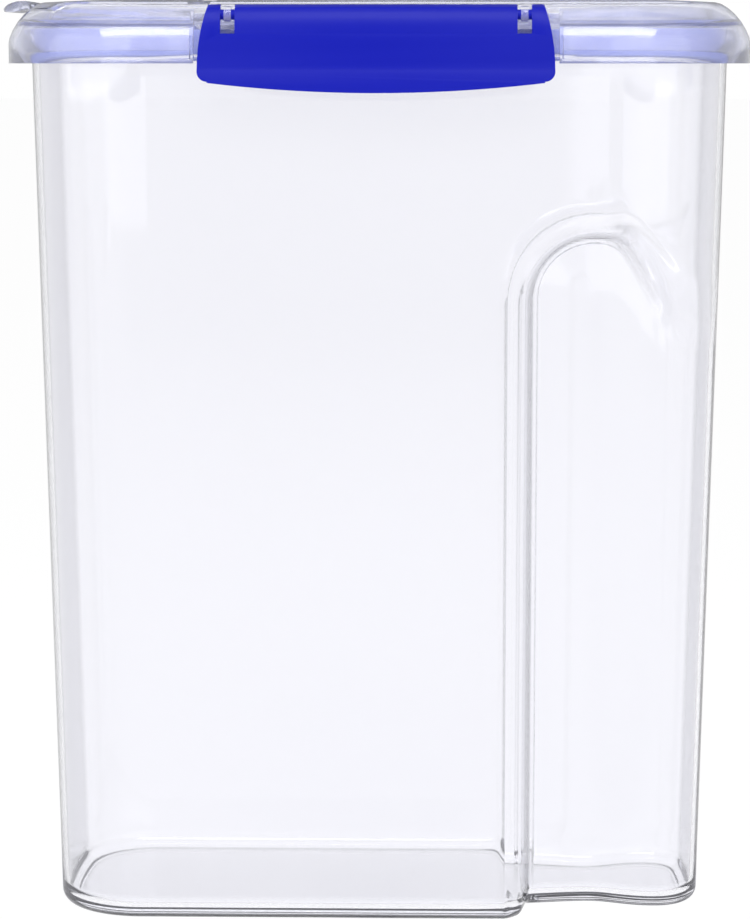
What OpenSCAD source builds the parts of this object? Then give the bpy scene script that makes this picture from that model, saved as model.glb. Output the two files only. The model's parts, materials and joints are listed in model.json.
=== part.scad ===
// Cereal container with a flip spout: a tapered clear tub with a moulded grip,
// a domed clear lid with a soft seal, two hinged clips and a flip-up pour cap.
// Millimetres. X runs along the long side, the grip is at +X and the spout at -X.
// The origin is the centre of the flat base, and +Z is up.

/* [Container] */
// Length of the base along X
base_w = 202; // [150:1:260]
// Depth of the base along Y
base_d = 83.6; // [74:0.2:110]
// Height of the container's rim above the table
rim_z = 271.2; // [210:0.2:330]
// Slope of the moulded walls, in degrees
draft = 1.3; // [1:0.1:3]
// Thickness of the container's wall
wall = 2; // [1.4:0.1:2.6]
// Thickness of the container's floor
floor_t = 2.6; // [2:0.1:4]
// Corner radius of the base in plan
corner_r = 26.3; // [18:0.1:30]
// Radius of the gently bowed ends in plan
end_r = 160.3; // [110:0.1:260]
// Radius of the outside bottom edge
foot_r = 4; // [2:0.5:5]
// Radius of the fillet round the inside of the floor
inner_foot_r = 5; // [3:0.5:7]
// How far the catch bead stands out of the wall
bead_out = 1.6; // [1.2:0.1:1.8]
// Height of the catch bead
bead_h = 1.5; // [1.2:0.1:2]

/* [Grip] */
// Thickness of the grip's waist at the base
grip_t = 42; // [36:1:50]
// How much thicker the grip is at its end, on each side
grip_swell = 3.5; // [0:0.5:5]
// Corner radius of the grip's end in plan
grip_corner = 13; // [10:0.5:18]
// Where the wall steps in to the grip, along X
grip_x = 45.5; // [40:1:50]
// Height of the middle of the arch above the table
arch_z = 211.5; // [160:0.5:220]
// Radius of the arch
arch_r = 20.5; // [16:0.5:24]
// Width of the S-shaped step into the grip
step_w = 27; // [20:1:32]
// Distance past the arch's crown in which it falls by one millimetre
arch_fall = 9.2; // [8:0.2:14]

/* [Lid] */
// How far the lid stands out past the container's rim
overhang = 6.9; // [6:0.1:9]
// Height of the lid from the skirt's lower edge to the top
lid_h = 19; // [18:0.5:24]
// Height of the upright part of the skirt
skirt_h = 6.1; // [5:0.1:8]
// Width of the domed shoulder
shoulder_w = 10.4; // [9:0.1:12]
// Squareness of the shoulder's curve
shoulder_n = 1.5; // [1.3:0.1:2.2]
// Width of the sloped border inside the shoulder
border_w = 13.3; // [10:0.1:16]
// Height that the border rises
border_h = 0.7; // [0.3:0.1:1]
// Thickness of the lid's walls
lid_t = 2; // [1.6:0.1:2.4]
// How far the skirt's lower edge hangs below the container's rim
skirt_drop = 8.6; // [8:0.1:10]

/* [Seals] */
// Thickness of each leg of the lid's seal
seal_leg = 1.3; // [0.9:0.1:1.6]
// Depth of the lid's seal below the rim
seal_depth = 5.9; // [4.5:0.1:6.2]
// Thickness of the seal above the rim
seal_top = 1.1; // [0.8:0.1:1.5]
// Gap between the seal and the rim
seal_gap = 0.3; // [0.2:0.05:0.5]
// Gap between the seal and the lid's ribs
seal_fit = 0.15; // [0.1:0.05:0.3]
// Width of the pour cap's seal
cap_seal_w = 1.7; // [1.2:0.1:2.2]
// Height of the pour cap's seal
cap_seal_h = 2.6; // [2:0.1:3]

/* [Clips] */
// Width of a clip at its lower corners
clip_w = 105; // [90:1:120]
// How much narrower a clip is at its top, on each side
clip_taper = 3.6; // [2:0.1:5]
// Height of a clip at its middle
clip_h = 25.8; // [24:0.1:28]
// How much a clip's lower edge bows down at its middle
clip_bow = 3.3; // [1:0.1:4.5]
// Radius of a clip's lower corners
clip_corner = 3; // [2:0.5:4]
// Thickness of a clip's plate
clip_t = 2.2; // [1.8:0.1:2.6]
// Distance from the clip's middle to each hinge slot
slot_x = 43.5; // [36:0.1:46]
// Width of a hinge slot
slot_w = 4.2; // [3.8:0.1:5]
// Depth of a hinge slot below the clip's top
slot_h = 8.5; // [7.5:0.1:9.5]
// Radius of the hinge pins
pin_r = 1.5; // [1.2:0.1:1.6]
// Running clearance round the hinge pins
pin_gap = 0.05; // [0.03:0.01:0.08]
// Width of the lid's hinge hooks
hook_w = 2.1; // [1.6:0.1:2.6]
// Gap between a clip and the sides of its pocket
pocket_gap = 1.3; // [0.8:0.1:2]
// Length of the catch along a clip
catch_w = 70; // [50:1:80]

/* [Pour cap] */
// Length of the pour opening along X
spout_l = 44; // [36:1:48]
// Width of the pour opening along Y
spout_w = 62; // [48:1:64]
// Corner radius of the pour opening
spout_r = 12; // [8:0.5:16]
// Width of the pour cap along Y
cap_w = 74; // [70:1:76]
// Thickness of the pour cap
cap_t = 2.5; // [2:0.1:2.6]
// Gap round the pour cap
cap_gap = 0.4; // [0.3:0.1:0.6]
// Distance from the pour cap's hinge to the middle of the lid
cap_hinge_x = 53; // [46:1:56]
// Radius of the pour cap's hinge barrel
barrel_r = 2.3; // [2:0.1:2.4]
// Radius of the pour cap's hinge pins
cap_pin_r = 1.2; // [1:0.1:1.3]
// How far the thumb tab reaches past the end of the lid
tab_out = 2.9; // [2:0.1:5]
// Width of the thumb tab
tab_w = 30; // [22:1:36]

/* [Hidden] */
$fn = 48;
clear = 0.3;
eps = 0.01;

// Sizes that come from an angle or a root are kept to round figures, so that walls
// swept by different operations meet without a slit.
function tenth(v) = round(10 * v) / 10;
function hundredth(v) = round(100 * v) / 100;

// Plan of the base: straight sides, round corners and bowed ends.
half_d = base_d / 2;
corner_y = half_d - corner_r;
corner_reach = sqrt(pow(end_r - corner_r, 2) - pow(corner_y, 2));
corner_x = tenth(base_w / 2 - end_r + corner_reach);
corner_a = atan2(corner_y, corner_reach);
end_cx = corner_x - corner_reach;
half_w = end_cx + end_r;

// Every wall of the container and lid is one offset of that plan.
rim_out = hundredth(rim_z * tan(draft));
rim_in = rim_out - wall;
lid_out = rim_out + overhang;
skirt_z = rim_z - skirt_drop;
lid_z = skirt_z + lid_h;
shoulder_h = lid_h - skirt_h - border_h;
plate_out = lid_out - shoulder_w - border_w;
seal_out = rim_out + seal_gap + seal_leg;
seal_low = rim_z - seal_depth;
seal_bore = hundredth(seal_low * tan(draft)) - wall - seal_gap;
seal_in = seal_bore - seal_leg;
seal_high = rim_z + clear + seal_top;
rib_t = 1.3;
web_t = 1.2;
bead_z = seal_low - clear - bead_h;

// Clips: places in the side view, measured outwards from the middle of the lid.
lid_half_d = half_d + lid_out;
pivot_y = lid_half_d - 1.2;
pivot_z = lid_z - 4.8;
hook_r = pin_r + 1;
clip_top = lid_z - 1.8;
clip_low = clip_top - clip_h;
crease_z = skirt_z - 0.7;
face_y = pivot_y + 3.4;
lip_out = 2.6;
pocket_half = clip_w / 2 + pocket_gap;
pocket_y = pivot_y - 5;
rail_y = half_d + seal_out + seal_fit;
rail_t = 1.2;
rail_low = bead_z + 0.5;
catch_top = bead_z - clear;
catch_h = 1.9;
catch_y = half_d + hundredth(bead_z * tan(draft)) + 0.7;

// Pour cap: the well it lies in and the hinge behind it.
well_z = lid_z - cap_t - clear;
well_half = cap_w / 2 + cap_gap;
well_floor = 1.6;
hinge_sink = 0.15;
hinge_z = lid_z - barrel_r - hinge_sink;
trough_r = barrel_r + hinge_sink + clear;
spout_x = -cap_hinge_x - 4 - spout_l / 2;
plug_t = 1.4;
plug_h = 4;
tab_tip = half_w + lid_out + tab_out;
boss_t = 3;

// ---------------------------------------------------------------- plan shapes

// Plan outline of the base, grown by o.
module plan(o) {
    square([2 * corner_x, 2 * (half_d + o)], center = true);
    square([2 * (corner_x + corner_r + o) - 2 * (corner_r + o), 2 * corner_y], center = true);
    for (sx = [-1, 1], sy = [-1, 1])
        translate([sx * corner_x, sy * corner_y]) circle(corner_r + o);
    for (s = [0, 1]) mirror([s, 0]) intersection() {
        translate([end_cx, 0]) circle(end_r + o, $fn = 96);
        polygon([[end_cx, 0],
                 [end_cx + 2 * end_r, -2 * end_r * tan(corner_a)],
                 [end_cx + 2 * end_r, 2 * end_r * tan(corner_a)]]);
    }
}

// The same outline as points, for walls that are lofted: even steps round each corner's
// arc and each end's arc.
corner_steps = 8;
bow_steps = 3;
function corner_turn(i) = 90 - (90 - corner_a) * i / corner_steps;
function outline_quarter(o) = concat(
    [for (i = [0 : corner_steps]) let (a = corner_turn(i), r = corner_r + o)
        [corner_x + r * cos(a), corner_y + r * sin(a)]],
    [for (i = [1 : bow_steps]) let (a = corner_a * (1 - i / bow_steps))
        [end_cx + (end_r + o) * cos(a), (end_r + o) * sin(a)]]);
function outline(o) = let (q = outline_quarter(o), n = len(q)) concat(
    [for (i = [n - 1 : -1 : 0]) q[i]],
    [for (i = [0 : n - 1]) [-q[i][0], q[i][1]]],
    [for (i = [n - 2 : -1 : 0]) [-q[i][0], -q[i][1]]],
    [for (i = [0 : n - 2]) [q[i][0], -q[i][1]]]);

// A closed solid through rings of points, with flat ends, or one that runs from its
// last ring back to its first.
module loft(rings, loop = false) {
    n = len(rings[0]);
    m = len(rings);
    sides = [for (j = [0 : loop ? m - 1 : m - 2], i = [0 : n - 1]) let (k = (i + 1) % n, up = (j + 1) % m)
        [j * n + i, up * n + i, up * n + k, j * n + k]];
    low_cap = [for (i = [0 : n - 1]) i];
    high_cap = [for (i = [n - 1 : -1 : 0]) (m - 1) * n + i];
    polyhedron([for (r = rings) each r], loop ? sides : concat([low_cap], sides, [high_cap]), convexity = 10);
}

// Rings of the outline for a profile of [offset, height] points.
function outline_rings(profile) = [for (p = profile) [for (q = outline(p[0])) [q[0], q[1], p[1]]]];

// A ring of rectangular section between two offsets and two heights.
module band(o_in, o_out, z_low, z_high)
    translate([0, 0, z_low]) linear_extrude(z_high - z_low) difference() {
        plan(o_out);
        plan(o_in);
    }

// Rectangle with round corners, centred.
module round_rect(l, w, r) {
    square([l - 2 * r, w], center = true);
    square([l, w - 2 * r], center = true);
    for (sx = [-1, 1], sy = [-1, 1])
        translate([sx * (l / 2 - r), sy * (w / 2 - r)]) circle(r);
}

// ------------------------------------------------------------- container body

// Smooth step from 0 to 1.
function ease(t) = let (c = min(1, max(0, t))) c * c * (3 - 2 * c);

// Height of the arch's centre, which falls away past the crown towards the end.
crown_x = grip_x + arch_r;
function arch_centre(x) = arch_z - arch_r - pow(max(0, x - crown_x) / arch_fall, 3);

// Distance outside the edge of the grip's recess, negative inside it.
function grip_edge(x, z) =
    norm([max(0, crown_x - x), max(0, z - arch_centre(x))]) - arch_r;

// How deep the recess is at a place, from 0 to 1: an S with a steep middle.
function recess(x, z, inset) = ease(ease(0.5 - (grip_edge(x, z) - 0.55 * inset) / step_w));

// Half depth at x of an outline with bowed ends, its half depth h and its corner
// radius c, grown by o.
function outline_half(x, o, h, c) =
    let (a = abs(x), r = c + o, cy = h - c, reach = sqrt(pow(end_r - c, 2) - pow(cy, 2)),
         cx = end_cx + reach, t = cx + r * reach / (end_r - c))
    a <= cx ? h + o
    : a <= t ? cy + sqrt(max(0, r * r - pow(a - cx, 2)))
    : sqrt(max(0, pow(end_r + o, 2) - pow(a - end_cx, 2)));

// Half depth of the full outline and of the grip at x, grown by o. The grip has a waist.
function full_half(x, o) = outline_half(x, o, half_d, corner_r);
function grip_half(x, o) =
    outline_half(x, o, grip_t / 2 + grip_swell, grip_corner)
    - grip_swell * (1 - ease((x - crown_x) / arch_r));
function half_depth(x, z, o, inset) =
    let (k = recess(x, z, inset))
    (1 - k) * full_half(x, o) + k * min(grip_half(x, o), full_half(x, o));

// Stations along X, from the spout end to the grip end: even steps round the corner's
// arc and the end's arc, and between them close steps across the edge of the grip.
grip_steps = 15;
grip_from = grip_x - step_w / 2 - 1;
function stations(o) = let (ends = [for (p = outline_quarter(o)) p[0]], n = len(ends)) concat(
    [for (i = [n - 1 : -1 : 0]) -ends[i]],
    [-corner_x / 3, 0],
    [for (i = [0 : grip_steps - 1]) grip_from + (corner_x - grip_from) * i / grip_steps],
    ends);

// One ring of points at height z, o outside the base's plan and inset behind the outer wall.
function ring(z, o, inset) =
    let (xs = stations(o), n = len(xs)) concat(
        [for (i = [0 : n - 1]) [xs[i], -half_depth(xs[i], z, o, inset), z]],
        [for (i = [n - 2 : -1 : 1]) [xs[i], half_depth(xs[i], z, o, inset), z]]);

// Wall heights between the floor and the rim: where the arch runs down to the end of
// the container, and closer together at its crown.
crown_low = arch_z - step_w / 2 - 8;
crown_high = arch_z + step_w / 2 + 1;
fall_low = crown_low - 54;
wall_levels = concat(
    [for (i = [0 : 6]) fall_low + (crown_low - fall_low) * i / 7],
    [for (i = [0 : 10]) crown_low + (crown_high - crown_low) * i / 10],
    [(crown_high + bead_z) / 2]);

// Rings from the outside of the floor up, over the rim, and down to the inside of the floor.
fillet_steps = 4;
function slope(z) = z * tan(draft);
body_rings = concat(
    [for (i = [0 : fillet_steps]) let (a = 90 * i / fillet_steps, z = foot_r * (1 - cos(a)))
        ring(z, slope(z) - foot_r * (1 - sin(a)), foot_r * (1 - sin(a)))],
    [for (z = wall_levels) ring(z, slope(z), 0)],
    [ring(bead_z, slope(bead_z), 0),
     ring(bead_z, slope(bead_z) + bead_out, 0),
     ring(bead_z + bead_h, slope(bead_z) + bead_out, 0),
     ring(bead_z + bead_h, slope(bead_z + bead_h), 0),
     ring(rim_z, rim_out, 0),
     ring(rim_z, rim_in, wall)],
    [for (i = [len(wall_levels) - 1 : -1 : 0]) let (z = wall_levels[i]) ring(z, slope(z) - wall, wall)],
    [for (i = [fillet_steps : -1 : 0])
        let (a = 90 * i / fillet_steps, z = floor_t + inner_foot_r * (1 - cos(a)),
             in = wall + inner_foot_r * (1 - sin(a)))
        ring(z, slope(z) - in, in)]);

module container_body() color("aliceblue") loft(body_rings);

// ------------------------------------------------------------------------ lid

// Side profile of the lid as [offset, height], moved inwards by t: the upright skirt,
// the domed shoulder and the sloped border.
shoulder_steps = 7;
function shoulder(t) = [for (i = [0 : shoulder_steps]) let (a = 90 * i / shoulder_steps)
    [lid_out - shoulder_w * (1 - pow(cos(a), 2 / shoulder_n)) - t * cos(a),
     skirt_z + skirt_h + shoulder_h * pow(sin(a), 2 / shoulder_n) - t * sin(a)]];
function lid_profile(t) = concat([[lid_out - t, skirt_z]], shoulder(t), [[plate_out, lid_z - t]]);

// The lid's form, filled.
module lid_form() loft(outline_rings(lid_profile(0)));

// Height of the lid's inner surface at an offset, and its shoulder points between two.
function under(o) = lookup(o, lid_profile(lid_t));
function under_points(low, high) =
    [for (i = [shoulder_steps : -1 : 0]) let (p = shoulder(lid_t)[i]) if (p[0] > low && p[0] <= high) p];

// Ribs under the lid that hold the seal between them, and the web above it.
rib_in = seal_in - seal_fit;
rib_out = seal_out + seal_fit;
rib_low = seal_low + 1.3;
web_z = seal_high + web_t;

// Profile of the lid with its channel for the seal, from the underside of the top round
// the ribs and the skirt's lower edge to the outside.
shell_profile = concat(
    [[plate_out, lid_z - lid_t], [rib_in - rib_t, under(rib_in - rib_t)],
     [rib_in - rib_t, seal_low], [rib_in, seal_low], [rib_in, seal_high],
     [rib_out, seal_high], [rib_out, rib_low], [rib_out + rib_t, rib_low],
     [rib_out + rib_t, under(rib_out + rib_t)]],
    under_points(rib_out + rib_t, lid_out - lid_t),
    [[lid_out - lid_t, skirt_z]],
    lid_profile(0));

// Hollow over the web, between the ribs.
hollow_under = under_points(rib_in, rib_out);
hollow_profile = concat(
    [[rib_out, web_z], [rib_out, under(rib_out)]],
    [for (i = [len(hollow_under) - 1 : -1 : 0]) hollow_under[i]],
    [[rib_in, under(rib_in)], [rib_in, web_z]]);

module lid_shell() difference() {
    loft(outline_rings(shell_profile));
    loft(outline_rings(hollow_profile), loop = true);
}

// A box from one corner to the other.
module box(a, b) translate(a) cube(b - a);

// Cut that opens the skirt for a clip, and the walls that close it again.
module pocket_cut() {
    box([-pocket_half, -lid_half_d - 5, skirt_z - 1], [pocket_half, -pocket_y, lid_z + 1]);
}
module pocket_walls() {
    side = pocket_half + rib_t;
    box([-side, -pocket_y, web_z - eps], [side, -pocket_y + rib_t, lid_z]);
    box([-side, -rail_y - rail_t, rail_low], [side, -rail_y, web_z]);
    box([-side, -rail_y - rail_t, seal_high], [side, -pocket_y + rib_t, web_z]);
    for (s = [-1, 1])
        box([s * (pocket_half + rib_t / 2) - rib_t / 2, -lid_half_d, rail_low],
            [s * (pocket_half + rib_t / 2) + rib_t / 2, -rail_y, lid_z]);
}

// Hook that holds one hinge pin: an arm from the pocket's wall and a snap ring.
module hinge_hook() {
    mouth = 1.8 * pin_r;
    difference() {
        rotate([90, 0, 90]) translate([0, 0, -hook_w / 2]) linear_extrude(hook_w) union() {
            circle(hook_r);
            translate([0, -1.6]) square([pivot_y - pocket_y, 3.2]);
        }
        rotate([0, 90, 0]) cylinder(r = pin_r + pin_gap, h = 3 * hook_w, center = true);
        box([-hook_w, -mouth / 2, -2 * hook_r], [hook_w, mouth / 2, 0]);
    }
}

// Trough and bosses that carry the pour cap's hinge.
module hinge_seat() {
    translate([-cap_hinge_x, 0, hinge_z]) rotate([90, 0, 0])
        cylinder(r = trough_r + 1.4, h = 2 * (well_half + boss_t), center = true);
}

module lid() color("lavender") difference() {
    union() {
        difference() {
            union() {
                lid_shell();
                intersection() {
                    lid_form();
                    union() {
                        box([-half_w - lid_out, -well_half - rib_t, well_z - well_floor],
                            [-cap_hinge_x + 4, well_half + rib_t, lid_z]);
                        hinge_seat();
                    }
                }
            }
            for (s = [0, 1]) mirror([0, s, 0]) pocket_cut();
        }
        intersection() {
            lid_form();
            for (s = [0, 1]) mirror([0, s, 0]) pocket_walls();
        }
        for (s = [0, 1], x = [-slot_x, slot_x])
            mirror([0, s, 0]) translate([x, -pivot_y, pivot_z]) hinge_hook();
    }
    // Well for the pour cap, the trough for its barrel and the sockets for its pins.
    box([-half_w - lid_out - 1, -well_half, well_z], [-cap_hinge_x, well_half, lid_z + 1]);
    translate([-cap_hinge_x, 0, hinge_z]) rotate([90, 0, 0]) {
        cylinder(r = trough_r, h = 2 * well_half, center = true);
        cylinder(r = cap_pin_r + pin_gap, h = 2 * (well_half + boss_t - 0.8), center = true);
    }
    // Relief that lets the open cap lean back.
    translate([-cap_hinge_x, well_half, hinge_z]) rotate([90, 0, 0]) linear_extrude(2 * well_half)
        polygon([[0, 0], [trough_r + 0.1, 0], [trough_r + 0.1 + barrel_r, barrel_r],
                 [trough_r + 3.4, 4], [0, 4]]);
    translate([spout_x, 0, well_z - 8]) linear_extrude(12) round_rect(spout_l, spout_w, spout_r);
}

module lid_seal() color("cornflowerblue") {
    band(rim_out + seal_gap, seal_out, seal_low, seal_high);
    band(seal_in, seal_bore, seal_low, seal_high);
    band(seal_bore, rim_out + seal_gap, rim_z + clear, seal_high);
}

// ---------------------------------------------------------------------- clips

// Side profile of a clip as [distance in front of the lid's middle, height].
function clip_outside() = [
    [pivot_y - 1.4, clip_top],
    [pivot_y + 0.6, clip_top - 0.9],
    [pivot_y + 2, pivot_z],
    [pivot_y + 3, pivot_z - 3.7],
    [face_y, pivot_z - 8.2],
    [face_y, crease_z],
    [face_y + lip_out * 0.35, crease_z - 2.8],
    [face_y + lip_out, clip_low]];
function clip_inside(t) = [
    [face_y + lip_out - t + 0.2, clip_low],
    [face_y - t + 0.7, crease_z - 2.8],
    [face_y - t, crease_z],
    [face_y - t, pivot_z - 8.2],
    [pivot_y + 3 - t, pivot_z - 3.7],
    [pivot_y + 2 - t, pivot_z],
    [pivot_y - 1.6, clip_top - 1.7]];

// Point on a clip's curved side edge, from 0 at the top to 1 above the lower corner.
function clip_side(t) =
    let (low = clip_low + clip_bow + clip_corner)
    [clip_w / 2 - clip_taper * pow(1 - t, 2), clip_top + 1 - (clip_top + 1 - low) * t];

// Front view of a clip: flared sides, round lower corners and a bowed lower edge.
module clip_face() {
    half = clip_w / 2;
    bow_r = (pow(half, 2) + pow(clip_bow, 2)) / (2 * clip_bow);
    intersection() {
        translate([0, clip_low + bow_r]) circle(bow_r, $fn = 360);
        union() {
            polygon(concat([for (i = [0 : 6]) clip_side(i / 6)],
                           [for (i = [6 : -1 : 0]) let (p = clip_side(i / 6)) [-p[0], p[1]]]));
            for (s = [-1, 1])
                translate([s * (half - clip_corner), clip_low + clip_bow + clip_corner]) circle(clip_corner);
            translate([-half + clip_corner, clip_low - 1])
                square([2 * (half - clip_corner), clip_bow + clip_corner + 1]);
        }
    }
}

module clip() {
    difference() {
        intersection() {
            rotate([90, 0, -90]) translate([0, 0, -clip_w])
                linear_extrude(2 * clip_w) polygon(concat(clip_outside(), clip_inside(clip_t)));
            rotate([90, 0, 0]) linear_extrude(2 * lid_half_d) clip_face();
        }
        for (x = [-slot_x, slot_x])
            box([x - slot_w / 2, -2 * lid_half_d, clip_top - slot_h], [x + slot_w / 2, 0, clip_top + 1]);
    }
    for (x = [-slot_x, slot_x]) translate([x, -pivot_y, pivot_z])
        rotate([0, 90, 0]) cylinder(r = pin_r, h = slot_w + 2, center = true);
    // The catch that snaps under the container's bead.
    rotate([90, 0, -90]) translate([0, 0, -catch_w / 2]) linear_extrude(catch_w)
        polygon([[face_y - clip_t + 0.4, catch_top - catch_h - 2.2], [face_y - clip_t + 0.4, catch_top],
                 [catch_y, catch_top], [catch_y, catch_top - 0.8], [catch_y + 1.2, catch_top - catch_h]]);
}

module front_clip() color("mediumblue") clip();
module back_clip() color("mediumblue") mirror([0, 1, 0]) clip();

// ------------------------------------------------------------------- pour cap

module flip_cap() color("whitesmoke") {
    half = cap_w / 2;
    intersection() {
        lid_form();
        box([-half_w - lid_out, -half, lid_z - cap_t], [-cap_hinge_x, half, lid_z]);
    }
    // Barrel along the hinge and the pins at its ends.
    translate([-cap_hinge_x, 0, hinge_z]) rotate([90, 0, 0]) {
        cylinder(r = barrel_r, h = 2 * half, center = true);
        cylinder(r = cap_pin_r, h = 2 * (well_half + boss_t - 1.2), center = true);
    }
    // Wall that plugs the pour opening and carries the seal.
    translate([spout_x, 0, lid_z - cap_t - plug_h]) linear_extrude(plug_h + cap_t / 2) difference() {
        plug(0);
        plug(plug_t);
    }
    thumb_tab();
}

// Plan of the plug inside the cap's seal, shrunk by t.
module plug(t) {
    d = cap_seal_w + clear + t;
    round_rect(spout_l - 2 * d, spout_w - 2 * d, spout_r - d);
}

// Spoon-shaped lip that a thumb lifts.
module thumb_tab() {
    root = tab_tip - 14;
    low = lid_z - cap_t;
    intersection() {
        rotate([90, 0, 0]) translate([0, 0, -tab_w]) linear_extrude(2 * tab_w)
            polygon([[-root, low], [-root, lid_z - 1], [-tab_tip + 8.5, lid_z], [-tab_tip + 5.6, lid_z - 0.1],
                     [-tab_tip + 2.4, lid_z - 0.9], [-tab_tip, lid_z - 2.4], [-tab_tip + 0.8, lid_z - 3.2],
                     [-tab_tip + 4.4, lid_z - 3.4], [-tab_tip + 7.4, low]]);
        translate([-tab_tip + tab_w / 2, 0, lid_z - 8]) linear_extrude(12) {
            circle(tab_w / 2);
            translate([0, -tab_w / 2]) square([tab_w, tab_w]);
        }
    }
}

module flip_cap_seal() color("cornflowerblue")
    translate([spout_x, 0, lid_z - cap_t - cap_seal_h]) linear_extrude(cap_seal_h) difference() {
        round_rect(spout_l - 2 * clear, spout_w - 2 * clear, spout_r - clear);
        plug(0);
    }

container_body();
lid();
lid_seal();
front_clip();
back_clip();
flip_cap();
flip_cap_seal();
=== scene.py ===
"""Looks of a cereal container with a flip spout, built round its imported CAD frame.

The frame is in metres with +Z up: the grip is at +X, the pour spout at -X, and the
front clip faces -Y. Sizes in this file are millimetres unless a name says otherwise.
"""

import json
import logging
import math
from dataclasses import dataclass, field
from enum import Enum
from typing import Optional

import bpy
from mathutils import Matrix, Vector

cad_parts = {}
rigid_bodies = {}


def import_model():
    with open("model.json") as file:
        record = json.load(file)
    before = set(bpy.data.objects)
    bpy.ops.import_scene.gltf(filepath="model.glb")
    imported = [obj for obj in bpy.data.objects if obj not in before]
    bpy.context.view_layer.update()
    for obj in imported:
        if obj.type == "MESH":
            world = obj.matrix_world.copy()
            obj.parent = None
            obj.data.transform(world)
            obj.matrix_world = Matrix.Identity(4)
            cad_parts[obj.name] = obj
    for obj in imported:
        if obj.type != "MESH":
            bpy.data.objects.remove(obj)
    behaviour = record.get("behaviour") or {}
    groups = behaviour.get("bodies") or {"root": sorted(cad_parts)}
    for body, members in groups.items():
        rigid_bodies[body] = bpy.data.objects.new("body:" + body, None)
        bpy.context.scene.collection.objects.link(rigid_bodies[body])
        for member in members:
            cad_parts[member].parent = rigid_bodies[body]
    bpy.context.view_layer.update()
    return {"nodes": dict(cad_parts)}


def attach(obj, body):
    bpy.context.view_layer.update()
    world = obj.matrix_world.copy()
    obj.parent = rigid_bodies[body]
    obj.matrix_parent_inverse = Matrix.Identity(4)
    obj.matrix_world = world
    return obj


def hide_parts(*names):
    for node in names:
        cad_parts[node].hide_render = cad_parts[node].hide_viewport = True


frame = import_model()
MM = 0.001
log = logging.getLogger("cereal_container")


# ------------------------------------------------------------------ small helpers


def linear(hex_colour: str) -> tuple[float, float, float, float]:
    """Turns an sRGB hex colour into the linear colour that shaders take.

    Args:
        hex_colour: Six hex digits, with or without a leading #.

    Returns:
        Linear red, green and blue, and an alpha of 1.
    """
    digits = hex_colour.lstrip("#")
    parts = [int(digits[i:i + 2], 16) / 255 for i in (0, 2, 4)]
    r, g, b = [c / 12.92 if c <= 0.04045 else ((c + 0.055) / 1.055) ** 2.4 for c in parts]
    return (r, g, b, 1.0)


def add_node(tree: bpy.types.NodeTree, kind: str, settings: Optional[dict] = None,
             **links: object) -> bpy.types.Node:
    """Adds a node with its settings, socket values and links.

    Args:
        tree: The node tree that takes the node.
        kind: Blender's type name of the node.
        settings: Attributes of the node itself, such as an operation.
        **links: Input name with _ for each space, and an output socket or a value.

    Returns:
        The new node.
    """
    node = tree.nodes.new(kind)
    for name, value in (settings or {}).items():
        setattr(node, name, value)
    for name, value in links.items():
        numbered = name[0] == "i" and name[1:].isdigit()
        socket = node.inputs[int(name[1:]) if numbered else name.replace("_", " ")]
        if isinstance(value, bpy.types.NodeSocket):
            tree.links.new(value, socket)
        else:
            socket.default_value = value
    return node


def deselect() -> None:
    """Leaves object mode's selection empty."""
    if bpy.context.mode != "OBJECT":
        bpy.ops.object.mode_set(mode="OBJECT")
    bpy.ops.object.select_all(action="DESELECT")


def activate(piece: bpy.types.Object) -> None:
    """Makes one object the only selected and active one."""
    deselect()
    piece.select_set(True)
    bpy.context.view_layer.objects.active = piece


def copy_of(node: str, name: str) -> bpy.types.Object:
    """Copies a CAD node and merges the loose triangles of the copy into clean faces.

    Args:
        node: The CAD node's name.
        name: The name of the copy.

    Returns:
        The copy, free of the node's body.
    """
    activate(frame["nodes"][node])
    bpy.ops.object.duplicate()
    bpy.ops.object.parent_clear(type="CLEAR_KEEP_TRANSFORM")
    piece = bpy.context.view_layer.objects.active
    piece.name = name
    piece.data.name = name
    for key in [k for k in piece.keys() if k.startswith("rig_")]:
        del piece[key]
    bpy.ops.object.mode_set(mode="EDIT")
    bpy.ops.mesh.select_all(action="SELECT")
    bpy.ops.mesh.remove_doubles(threshold=0.002 * MM)
    bpy.ops.mesh.dissolve_limited(angle_limit=math.radians(0.5))
    bpy.ops.object.mode_set(mode="OBJECT")
    return piece


def round_edges(piece: bpy.types.Object, radius: float, angle: float = 35, segments: int = 2) -> None:
    """Rounds the edges of a piece, as a mould does, and smooths its curved faces.

    Args:
        piece: The piece to round.
        radius: Radius of the rounded edges, in millimetres.
        angle: Edges sharper than this, in degrees, are rounded.
        segments: Steps across each rounded edge.
    """
    activate(piece)
    bevel = piece.modifiers.new("moulded edges", "BEVEL")
    bevel.width = radius * MM
    bevel.segments = segments
    bevel.limit_method = "ANGLE"
    bevel.angle_limit = math.radians(angle)
    bevel.use_clamp_overlap = True
    bevel.miter_outer = "MITER_ARC"
    bpy.ops.object.modifier_apply(modifier=bevel.name)
    bpy.ops.object.shade_smooth_by_angle(angle=math.radians(angle))


def dress(piece: bpy.types.Object, material: bpy.types.Material) -> None:
    """Gives a piece its one material."""
    piece.data.materials.clear()
    piece.data.materials.append(material)


def settle(piece: bpy.types.Object, body: str, slot: str, *nodes: str) -> bpy.types.Object:
    """Puts a piece on its body, in place of its CAD nodes.

    Args:
        piece: The finished piece.
        body: The CAD body that it moves with.
        slot: The record's material slot; not used.
        *nodes: The CAD nodes that the piece stands for.

    Returns:
        The piece.
    """
    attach(piece, body)
    if nodes:
        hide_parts(*nodes)
    log.info("%s: %d faces on %s", piece.name, len(piece.data.polygons), body)
    return piece


# ------------------------------------------------------------------------ finishes


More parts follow.
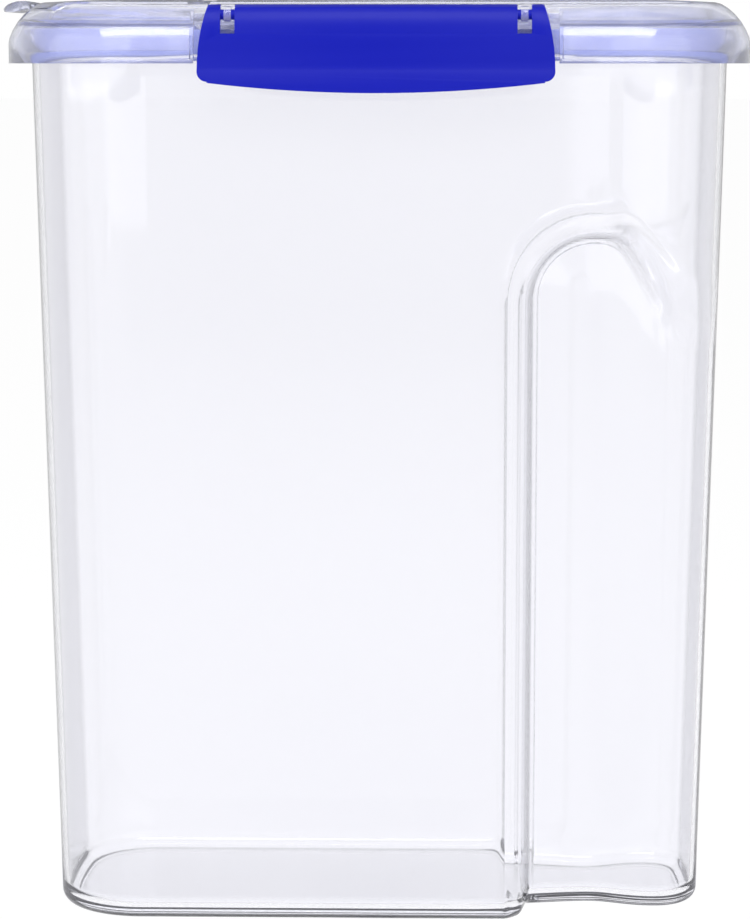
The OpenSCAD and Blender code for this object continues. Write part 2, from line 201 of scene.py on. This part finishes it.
@dataclass(frozen=True)
class Finish:
    """What every finish has: its name and a fine relief left by the mould."""

    name: str
    colour: str
    roughness: float
    ior: float
    relief_size: float = 20.0
    relief_height: float = 0.01
    relief_strength: float = 0.3

    def begin(self) -> tuple[bpy.types.Material, bpy.types.NodeTree, bpy.types.Node]:
        """Makes an empty node material.

        Returns:
            The material, its node tree and its output node.
        """
        material = bpy.data.materials.new(self.name)
        material.use_nodes = True
        tree = material.node_tree
        tree.nodes.clear()
        return material, tree, tree.nodes.new("ShaderNodeOutputMaterial")

    def relief(self, tree: bpy.types.NodeTree) -> bpy.types.NodeSocket:
        """Adds the relief of the surface.

        Args:
            tree: The material's nodes.

        Returns:
            The normal to use in the shader.
        """
        place = add_node(tree, "ShaderNodeTexCoord")
        # One unit of the pattern is relief_size millimetres across.
        noise = add_node(tree, "ShaderNodeTexNoise", Vector=place.outputs["Object"],
                         Scale=1 / (self.relief_size * MM), Detail=3.0, Roughness=0.5)
        bump = add_node(tree, "ShaderNodeBump", Height=noise.outputs["Fac"],
                        Distance=self.relief_height * MM, Strength=self.relief_strength)
        return bump.outputs["Normal"]


@dataclass(frozen=True)
class ClearPlastic(Finish):
    """Clear injection-moulded copolymer: glossy, a little hazy, faintly blue where it is thick."""

    depth_colour: str = "#DDDEE7"
    depth_density: float = 60.0
    light_tint: str = "#FAFAFD"
    clarity: float = 0.94
    # Painted shade: walls seen along their face turn to this grey in the base colour, from this facing on.
    painted_edge_shade: str = "#86868E"
    edge_shade_from: float = 0.6

    def material(self) -> bpy.types.Material:
        """Builds the material.

        Returns:
            The material.
        """
        material, tree, out = self.begin()
        # Painted shade: a wall seen along its face is turned grey in its base colour, standing in for the
        # darker room that it shows.
        slant = add_node(tree, "ShaderNodeLayerWeight", Blend=0.5)
        edge = add_node(tree, "ShaderNodeMapRange", Value=slant.outputs["Facing"],
                        From_Min=self.edge_shade_from, From_Max=0.95)
        colour_with_edge_shade = add_node(tree, "ShaderNodeMix", {"data_type": "RGBA"}, i0=edge.outputs[0],
                        i6=linear(self.colour), i7=linear(self.painted_edge_shade))
        shell = add_node(tree, "ShaderNodeBsdfPrincipled", Base_Color=colour_with_edge_shade.outputs[2],
                         Roughness=self.roughness, IOR=self.ior, Transmission_Weight=self.clarity,
                         Normal=self.relief(tree))
        # Light from the lamps reaches what is inside the clear walls.
        ray = add_node(tree, "ShaderNodeLightPath")
        unlit = add_node(tree, "ShaderNodeMath", {"operation": "MAXIMUM"},
                         i0=ray.outputs["Is Shadow Ray"], i1=ray.outputs["Is Diffuse Ray"])
        through = add_node(tree, "ShaderNodeBsdfTransparent", Color=linear(self.light_tint))
        mix = add_node(tree, "ShaderNodeMixShader", i0=unlit.outputs[0], i1=shell.outputs["BSDF"],
                       i2=through.outputs["BSDF"])
        tree.links.new(mix.outputs["Shader"], out.inputs["Surface"])
        # Light that runs along a wall is dimmed, which draws the edges of the clear walls.
        depth = add_node(tree, "ShaderNodeVolumeAbsorption", Color=linear(self.depth_colour),
                         Density=self.depth_density)
        tree.links.new(depth.outputs["Volume"], out.inputs["Volume"])
        return material


@dataclass(frozen=True)
class SatinPlastic(Finish):
    """Pigmented polypropylene with a fine spark-eroded mould texture."""

    specular: float = 0.3

    def material(self) -> bpy.types.Material:
        """Builds the material.

        Returns:
            The material.
        """
        material, tree, out = self.begin()
        shell = add_node(tree, "ShaderNodeBsdfPrincipled", Base_Color=linear(self.colour),
                         Roughness=self.roughness, IOR=self.ior, Specular_IOR_Level=self.specular,
                         Normal=self.relief(tree))
        tree.links.new(shell.outputs["BSDF"], out.inputs["Surface"])
        return material


@dataclass(frozen=True)
class Silicone(Finish):
    """Moulded translucent silicone: soft sheen, light scattered inside."""

    scatter: float = 0.4
    scatter_radius: float = 3.0

    def material(self) -> bpy.types.Material:
        """Builds the material.

        Returns:
            The material.
        """
        material, tree, out = self.begin()
        shell = add_node(tree, "ShaderNodeBsdfPrincipled", Base_Color=linear(self.colour),
                         Roughness=self.roughness, IOR=self.ior, Subsurface_Weight=self.scatter,
                         Subsurface_Radius=(1.0, 1.0, 1.0), Subsurface_Scale=self.scatter_radius * MM,
                         Normal=self.relief(tree))
        tree.links.new(shell.outputs["BSDF"], out.inputs["Surface"])
        return material


# Clear copolymer, injection moulded in a polished tool: a clean gloss, a slow waviness about
# 45 mm long from the flow of the melt, and a painted grey shade wherever a wall turns away from the eye.
BODY_CLEAR = ClearPlastic("clear_copolymer_tub", "#FCFCFF", 0.03, 1.51, relief_size=45,
                          relief_height=0.05, relief_strength=0.15, depth_density=8.0,
                          clarity=0.96)
# The same copolymer, moulded in a less polished tool: a softer gloss, a faint milky blue and a lighter
# painted grey shade where a wall turns away from the eye.
LID_CLEAR = ClearPlastic("clear_copolymer_lid", "#F4F5FD", 0.08, 1.51, relief_size=30,
                         relief_height=0.03, relief_strength=0.15, depth_colour="#D6D9EE",
                         depth_density=25.0, clarity=0.9, painted_edge_shade="#AEB3CC")
# Pigmented polypropylene, spark-eroded tool: an even satin with a 0.5 mm grain, so no sharp
# highlight shows. The real grain is nearer 0.1 mm and is drawn coarser so that it shows.
CLIP_BLUE = SatinPlastic("blue_polypropylene", "#101AAC", 0.34, 1.49, relief_size=0.5,
                         relief_height=0.004, relief_strength=0.25, specular=0.14)
# Silicone, compression moulded: soft and dull, with light spread a few millimetres inside it.
SEAL_BLUE = Silicone("periwinkle_silicone", "#96A3F0", 0.5, 1.41, relief_size=6, relief_height=0.01)


# ------------------------------------------------------------------------------ tub


def ease(t: float) -> float:
    """Smooth step from 0 to 1."""
    t = min(1.0, max(0.0, t))
    return t * t * (3 - 2 * t)


@dataclass
class Tub:
    """The clear tub: tapered walls, round foot, a waisted grip sunk into both sides, bead, rim.

    The grip's step starts step_lead outside the arch of radius arch_r whose left leg is at
    grip_x. It runs inwards over step_w, with its crease at a share of that width, and ends in
    a long shallow tail. Past the arch's crown it falls by arch_fall and grows softer.
    """

    half_d: float = 41.8
    corner_r: float = 26.3
    corner_x: float = 73.8
    end_r: float = 160.3
    rim_z: float = 271.2
    draft: float = math.tan(math.radians(1.3))
    wall: float = 2.0
    floor: float = 2.6
    foot_r: float = 4.0
    inner_foot_r: float = 5.0
    bead_z: float = 263.5
    bead_h: float = 1.5
    bead_out: float = 1.6
    rim_r: float = 0.7
    grip_t: float = 42.0
    grip_swell: float = 3.5
    grip_corner: float = 13.0
    grip_x: float = 45.5
    arch_z: float = 211.5
    arch_r: float = 20.5
    arch_fall: float = 24.0
    fall_start: float = 6.0
    fall_run: float = 24.0
    step_lead: float = 5.3
    step_w: float = 8.7
    step_pivot: float = 0.4
    inner_lag: float = 0.55
    crease: float = 0.6
    crease_start: float = 0.48
    crease_w: float = 0.36
    crease_run: float = 15.0
    tail_w: float = 29.0
    steep: float = 0.82
    end_softness: float = 1.8
    soft_run: float = 26.0
    corner_steps: int = 20
    grip_corner_steps: int = 48
    bow_steps: int = 8
    grip_steps: int = 62
    arch_steps: int = 104
    foot_steps: int = 8
    rim_steps: int = 4
    low_levels: tuple[float, ...] = (12, 40, 75, 105)
    arch_depth: float = 80.0
    corner_y: float = field(init=False)
    corner_a: float = field(init=False)
    end_cx: float = field(init=False)

    def __post_init__(self) -> None:
        """Works out the centres of the plan's arcs."""
        self.corner_y = self.half_d - self.corner_r
        reach = math.sqrt((self.end_r - self.corner_r) ** 2 - self.corner_y ** 2)
        self.corner_a = math.atan2(self.corner_y, reach)
        self.end_cx = self.corner_x - reach

    def slope(self, z: float) -> float:
        """How far the outer wall stands out of the base's plan at a height."""
        return z * self.draft

    def recess(self, x: float, z: float, inset: float) -> float:
        """How deep the grip's recess is at a place.

        Args:
            x: Place along the tub.
            z: Height.
            inset: Distance behind the outer wall.

        Returns:
            From 0 on the full wall to 1 on the grip.
        """
        crown = self.grip_x + self.arch_r
        past = max(0.0, x - crown)
        centre = self.arch_z - self.arch_r - self.arch_fall * ease((past - self.fall_start) / self.fall_run)
        edge = math.hypot(max(0.0, crown - x), max(0.0, z - centre)) - self.arch_r
        # The step is crisp over the arch and dies out softly round the container's end.
        soft = 1 + self.end_softness * ease(past / self.soft_run)
        pivot = self.step_pivot * self.step_w
        inside = pivot + (self.step_lead - edge + self.inner_lag * inset - pivot) / soft
        # Two thirds of the way down, the step falls off more sharply, which draws a line.
        t = inside / self.step_w
        crease = self.crease * (1 - ease(past / self.crease_run))
        step = (1 - crease) * ease(t) + crease * ease((t - self.crease_start) / self.crease_w)
        return self.steep * step + (1 - self.steep) * ease(inside / self.tail_w)

    def outline_half(self, x: float, o: float, half: float, corner: float) -> float:
        """Half depth of an outline with bowed ends.

        Args:
            x: Place along the tub.
            o: How far the outline is grown.
            half: Its half depth at the middle.
            corner: Its corner radius.

        Returns:
            The half depth at the place.
        """
        a, r, cy = abs(x), corner + o, half - corner
        reach = math.sqrt((self.end_r - corner) ** 2 - cy ** 2)
        cx = self.end_cx + reach
        if a <= cx:
            return half + o
        if a <= cx + r * reach / (self.end_r - corner):
            return cy + math.sqrt(max(0.0, r * r - (a - cx) ** 2))
        return math.sqrt(max(0.0, (self.end_r + o) ** 2 - (a - self.end_cx) ** 2))

    def half_depth(self, x: float, z: float, o: float, inset: float) -> float:
        """Half depth of the tub at a place, grown by o.

        Args:
            x: Place along the tub.
            z: Height.
            o: Offset outside the base's plan.
            inset: Distance behind the outer wall.

        Returns:
            The half depth.
        """
        full = self.outline_half(x, o, self.half_d, self.corner_r)
        waist = self.grip_swell * (1 - ease((x - self.grip_x - self.arch_r) / self.arch_r))
        grip = self.outline_half(x, o, self.grip_t / 2 + self.grip_swell, self.grip_corner) - waist
        k = self.recess(x, z, inset)
        return (1 - k) * full + k * min(grip, full)

    def stations(self, o: float) -> list[float]:
        """Places along X for one ring, spout end first.

        Args:
            o: Offset outside the base's plan.

        Returns:
            The places, close together round the corners and across the grip's edge.
        """
        r, turn = self.corner_r + o, math.pi / 2 - self.corner_a
        bow = [self.end_cx + (self.end_r + o) * math.cos(self.corner_a * (1 - i / self.bow_steps))
               for i in range(1, self.bow_steps + 1)]
        spout, handle = ([self.corner_x + r * math.sin(turn * i / steps) for i in range(steps + 1)] + bow
                         for steps in (self.corner_steps, self.grip_corner_steps))
        start = self.grip_x - self.step_lead - 1
        middle = [-self.corner_x * 0.6, -self.corner_x * 0.25, self.corner_x * 0.1, start - 8]
        middle += [start + (self.corner_x - start) * i / self.grip_steps for i in range(self.grip_steps)]
        return [-x for x in reversed(spout)] + middle + handle

    def ring(self, z: float, o: float, inset: float) -> list[tuple[float, float, float]]:
        """One closed ring of points in metres.

        Args:
            z: Height.
            o: Offset outside the base's plan.
            inset: Distance behind the outer wall.

        Returns:
            The points, front side first.
        """
        xs = self.stations(o)
        front = [(x * MM, -self.half_depth(x, z, o, inset) * MM, z * MM) for x in xs]
        back = [(x * MM, self.half_depth(x, z, o, inset) * MM, z * MM) for x in xs[-2:0:-1]]
        return front + back

    def levels(self) -> list[float]:
        """Heights of the wall's rings between the foot and the bead, close together at the arch."""
        low, high = self.arch_z - self.arch_depth, self.arch_z + self.step_lead + 2
        steps = [low + (high - low) * i / self.arch_steps for i in range(self.arch_steps + 1)]
        return list(self.low_levels) + steps + [high + 10, high + 20, self.bead_z - 2.5]

    def rings(self) -> list[list[tuple[float, float, float]]]:
        """All rings, from the outside of the floor over the rim to the inside of the floor.

        Returns:
            The rings in order.
        """
        out = []
        for i in range(self.foot_steps + 1):
            a = math.radians(90 * i / self.foot_steps)
            back = self.foot_r * (1 - math.sin(a))
            z = self.foot_r * (1 - math.cos(a))
            out.append(self.ring(z, self.slope(z) - back, back))
        out += [self.ring(z, self.slope(z), 0) for z in self.levels()]
        # The catch bead, from its lower root round its rounded nose to its upper root.
        low, top = self.bead_z, self.bead_z + self.bead_h
        root, nose = 0.3, self.bead_out - 0.4
        for z, stand in ((low - root, 0.0), (low, root), (low + 0.1, nose), (low + 0.5, self.bead_out),
                         (top - 0.5, self.bead_out), (top - 0.1, nose), (top, root),
                         (top + root, 0.0)):
            out.append(self.ring(z, self.slope(low) + stand, 0))
        rim, r = self.slope(self.rim_z), self.rim_r
        for i in range(self.rim_steps + 1):
            a = math.radians(90 * i / self.rim_steps)
            out.append(self.ring(self.rim_z - r * (1 - math.sin(a)), rim - r * (1 - math.cos(a)), 0))
        for i in range(self.rim_steps + 1):
            a = math.radians(90 * i / self.rim_steps)
            out.append(self.ring(self.rim_z - r * (1 - math.cos(a)),
                                 rim - self.wall + r * (1 - math.sin(a)), self.wall))
        out += [self.ring(z, self.slope(z) - self.wall, self.wall) for z in reversed(self.levels())]
        for i in range(self.foot_steps, -1, -1):
            a = math.radians(90 * i / self.foot_steps)
            z = self.floor + self.inner_foot_r * (1 - math.cos(a))
            inset = self.wall + self.inner_foot_r * (1 - math.sin(a))
            out.append(self.ring(z, self.slope(z) - inset, inset))
        return out

    def build(self) -> bpy.types.Object:
        """Lofts the tub through its rings, as no operator gives the grip's swept step.

        Returns:
            The tub.
        """
        rings = self.rings()
        n, m = len(rings[0]), len(rings)
        faces = [(j * n + i, j * n + (i + 1) % n, (j + 1) * n + (i + 1) % n, (j + 1) * n + i)
                 for j in range(m - 1) for i in range(n)]
        # The floor's outside and inside are strips of faces across the first and the last ring.
        half = n // 2
        for j, turn in ((0, -1), (m - 1, 1)):
            base = j * n
            for i in range(half):
                quad = [base + i, base + i + 1, base + (n - i - 1) % n, base + (n - i) % n]
                quad = list(dict.fromkeys(quad))
                if len(quad) > 2:
                    faces.append(tuple(quad[::turn]))
        mesh = bpy.data.meshes.new("clear_tub")
        mesh.from_pydata([p for r in rings for p in r], [], faces)
        piece = bpy.data.objects.new("clear_tub", mesh)
        bpy.context.scene.collection.objects.link(piece)
        activate(piece)
        bpy.ops.object.mode_set(mode="EDIT")
        bpy.ops.mesh.select_all(action="SELECT")
        bpy.ops.mesh.remove_doubles(threshold=0.001 * MM)
        bpy.ops.mesh.normals_make_consistent(inside=False)
        bpy.ops.object.mode_set(mode="OBJECT")
        bpy.ops.object.shade_smooth_by_angle(angle=math.radians(40))
        dress(piece, BODY_CLEAR.material())
        return settle(piece, "container", "clear_body", "container_body")


# ------------------------------------------------------------------------------ lid


@dataclass
class Lid:
    """The domed lid with its seal."""

    edge_r: float = 0.4
    seal_edge_r: float = 0.3

    def build(self) -> list[bpy.types.Object]:
        """Builds the lid's shell and its seal.

        Returns:
            The two pieces.
        """
        shell = copy_of("lid", "lid_shell")
        round_edges(shell, self.edge_r, angle=28)
        dress(shell, LID_CLEAR.material())
        settle(shell, "lid", "clear_lid", "lid")
        seal = copy_of("lid_seal", "lid_seal_ring")
        round_edges(seal, self.seal_edge_r)
        dress(seal, SEAL_BLUE.material())
        settle(seal, "lid", "blue_seal", "lid_seal")
        return [shell, seal]


class Side(Enum):
    """The two long sides, each with a clip."""

    FRONT = "front"
    BACK = "back"


@dataclass
class Clips:
    """The two hinged clips with their pins and catches."""

    edge_r: float = 0.5

    def build(self) -> list[bpy.types.Object]:
        """Builds both clips.

        Returns:
            The clips, front one first.
        """
        material = CLIP_BLUE.material()
        made = []
        for side in Side:
            node = f"{side.value}_clip"
            clip = copy_of(node, f"{node}_moulding")
            round_edges(clip, self.edge_r, angle=25, segments=3)
            dress(clip, material)
            made.append(settle(clip, node, "blue_clip", node))
        return made


@dataclass
class PourCap:
    """The flip-up pour cap with its seal."""

    edge_r: float = 0.35
    seal_edge_r: float = 0.3

    def build(self) -> list[bpy.types.Object]:
        """Builds the cap and its seal.

        Returns:
            The two pieces.
        """
        cap = copy_of("flip_cap", "pour_cap")
        round_edges(cap, self.edge_r, angle=28)
        dress(cap, LID_CLEAR.material())
        settle(cap, "flip_cap", "clear_lid", "flip_cap")
        seal = copy_of("flip_cap_seal", "pour_cap_seal")
        round_edges(seal, self.seal_edge_r)
        dress(seal, SEAL_BLUE.material())
        settle(seal, "flip_cap", "blue_seal", "flip_cap_seal")
        return [cap, seal]


# --------------------------------------------------------------------------- studio


@dataclass(frozen=True)
class Softbox:
    """One soft lamp: its place and the point it faces, its panel's size, all in metres, and watts."""

    name: str
    place: tuple[float, float, float]
    aim: tuple[float, float, float]
    size: tuple[float, float]
    watts: float

    def hang(self) -> bpy.types.Object:
        """Hangs the lamp.

        Returns:
            The lamp.
        """
        light = bpy.data.lights.new(self.name, "AREA")
        light.shape = "RECTANGLE"
        light.size, light.size_y = self.size
        light.energy = self.watts
        lamp = bpy.data.objects.new(self.name, light)
        bpy.context.scene.collection.objects.link(lamp)
        lamp.location = self.place
        facing = Vector(self.aim) - Vector(self.place)
        lamp.rotation_euler = facing.to_track_quat("-Z", "Y").to_euler()
        return lamp


@dataclass
class Studio:
    """Pale floor, soft lamps, white surround and the camera of the photograph.

    The floor's size is in metres, and card_edges tell where the mirrored white begins and ends.
    """

    camera_place: tuple[float, float, float] = (20.0, -948.0, 263.6)
    pitch: float = 7.53
    yaw: float = 1.3
    focal_px: float = 3022.0
    frame_px: int = 919
    sensor: float = 36.0
    surround: float = 0.3
    card_edges: tuple[float, float] = (0.2, 0.75)
    floor_size: float = 40.0
    floor_drop: float = 0.2
    floor_colour: str = "#F8F8F9"
    floor_glow: float = 0.90
    glow_strength: float = 1.06
    softboxes: tuple[Softbox, ...] = (
        Softbox("left_softbox", (-0.80, -0.80, 0.62), (0, 0, 0.62), (1.5, 0.85), 4),
        Softbox("right_softbox", (0.62, -0.95, 0.62), (0, 0, 0.62), (1.2, 0.85), 3),
        Softbox("top_softbox", (0.0, -0.72, 1.05), (0, -0.05, 0.26), (1.1, 0.35), 7))

    def white_where_seen(self, tree: bpy.types.NodeTree, side: str) -> bpy.types.NodeSocket:
        """Adds the test for a ray that shows the background: seen, through glass or mirrored.

        Mirrored, the studio is white towards its corners, where the reflectors stand, and
        dim towards the middle of each side.

        Args:
            tree: The nodes that need the test.
            side: The texture coordinate that tells the direction from the object.

        Returns:
            A socket that is 1 for a ray that is seen, and less where a mirrored one is dim.
        """
        ray = add_node(tree, "ShaderNodeLightPath")
        seen = add_node(tree, "ShaderNodeMath", {"operation": "MAXIMUM"},
                        i0=ray.outputs["Is Camera Ray"], i1=ray.outputs["Is Transmission Ray"])
        place = add_node(tree, "ShaderNodeTexCoord")
        axes = add_node(tree, "ShaderNodeSeparateXYZ", Vector=place.outputs[side])
        turn = add_node(tree, "ShaderNodeMath", {"operation": "ARCTAN2"},
                        i0=axes.outputs["Y"], i1=axes.outputs["X"])
        twice = add_node(tree, "ShaderNodeMath", {"operation": "MULTIPLY"}, i0=turn.outputs[0], i1=2.0)
        wave = add_node(tree, "ShaderNodeMath", {"operation": "SINE"}, i0=twice.outputs[0])
        corner = add_node(tree, "ShaderNodeMath", {"operation": "ABSOLUTE"}, i0=wave.outputs[0])
        card = add_node(tree, "ShaderNodeMapRange", Value=corner.outputs[0],
                        From_Min=self.card_edges[0], From_Max=self.card_edges[1])
        gloss = add_node(tree, "ShaderNodeMath", {"operation": "MULTIPLY"},
                         i0=ray.outputs["Is Glossy Ray"], i1=card.outputs[0])
        return add_node(tree, "ShaderNodeMath", {"operation": "MAXIMUM"},
                        i0=seen.outputs[0], i1=gloss.outputs[0]).outputs[0]

    def world(self) -> None:
        """Makes the surround: white where it is seen, a plain level where it only lights."""
        world = bpy.data.worlds.new("studio_surround")
        bpy.context.scene.world = world
        world.use_nodes = True
        tree = world.node_tree
        tree.nodes.clear()
        seen = self.white_where_seen(tree, "Generated")
        level = add_node(tree, "ShaderNodeMapRange", Value=seen, To_Min=self.surround, To_Max=1.0)
        back = add_node(tree, "ShaderNodeBackground", Color=(1, 1, 1, 1), Strength=level.outputs[0])
        out = add_node(tree, "ShaderNodeOutputWorld")
        tree.links.new(back.outputs[0], out.inputs["Surface"])

    def floor(self) -> bpy.types.Object:
        """Makes the pale floor, which keeps the object's shadow.

        Returns:
            The floor.
        """
        deselect()
        bpy.ops.mesh.primitive_plane_add(size=self.floor_size, location=(0, 0, -self.floor_drop * MM))
        floor = bpy.context.view_layer.objects.active
        floor.name = "studio_floor"
        material = bpy.data.materials.new("matt_white_sweep")
        material.use_nodes = True
        tree = material.node_tree
        tree.nodes.clear()
        matt = add_node(tree, "ShaderNodeBsdfDiffuse", Color=linear(self.floor_colour))
        glow = add_node(tree, "ShaderNodeEmission", Color=(1, 1, 1, 1), Strength=self.glow_strength)
        share = add_node(tree, "ShaderNodeMath", {"operation": "MULTIPLY"},
                         i0=self.white_where_seen(tree, "Object"), i1=self.floor_glow)
        mix = add_node(tree, "ShaderNodeMixShader", i0=share.outputs[0], i1=matt.outputs[0],
                       i2=glow.outputs[0])
        out = add_node(tree, "ShaderNodeOutputMaterial")
        tree.links.new(mix.outputs[0], out.inputs["Surface"])
        dress(floor, material)
        return floor

    def camera(self) -> bpy.types.Object:
        """Places the camera as it stood for the photograph.

        Returns:
            The camera.
        """
        data = bpy.data.cameras.new("photo_camera")
        data.sensor_fit = "AUTO"
        data.sensor_width = self.sensor
        data.lens = self.focal_px * self.sensor / self.frame_px
        camera = bpy.data.objects.new("photo_camera", data)
        bpy.context.scene.collection.objects.link(camera)
        camera.location = [v * MM for v in self.camera_place]
        p, y = math.radians(self.pitch), math.radians(self.yaw)
        view = Vector((-math.sin(y) * math.cos(p), math.cos(y) * math.cos(p), -math.sin(p)))
        camera.rotation_euler = view.to_track_quat("-Z", "Y").to_euler()
        bpy.context.scene.camera = camera
        return camera

    def build(self) -> None:
        """Sets up the whole studio."""
        bpy.context.scene.view_settings.view_transform = "Standard"
        self.world()
        self.floor()
        for softbox in self.softboxes:
            softbox.hang()
        self.camera()


def main() -> None:
    """Builds the container in order."""
    logging.basicConfig(level=logging.INFO, format="%(message)s")
    Studio().build()
    Tub().build()
    Lid().build()
    Clips().build()
    PourCap().build()
    log.info("sizes written")


if __name__ == "__main__":
    main()
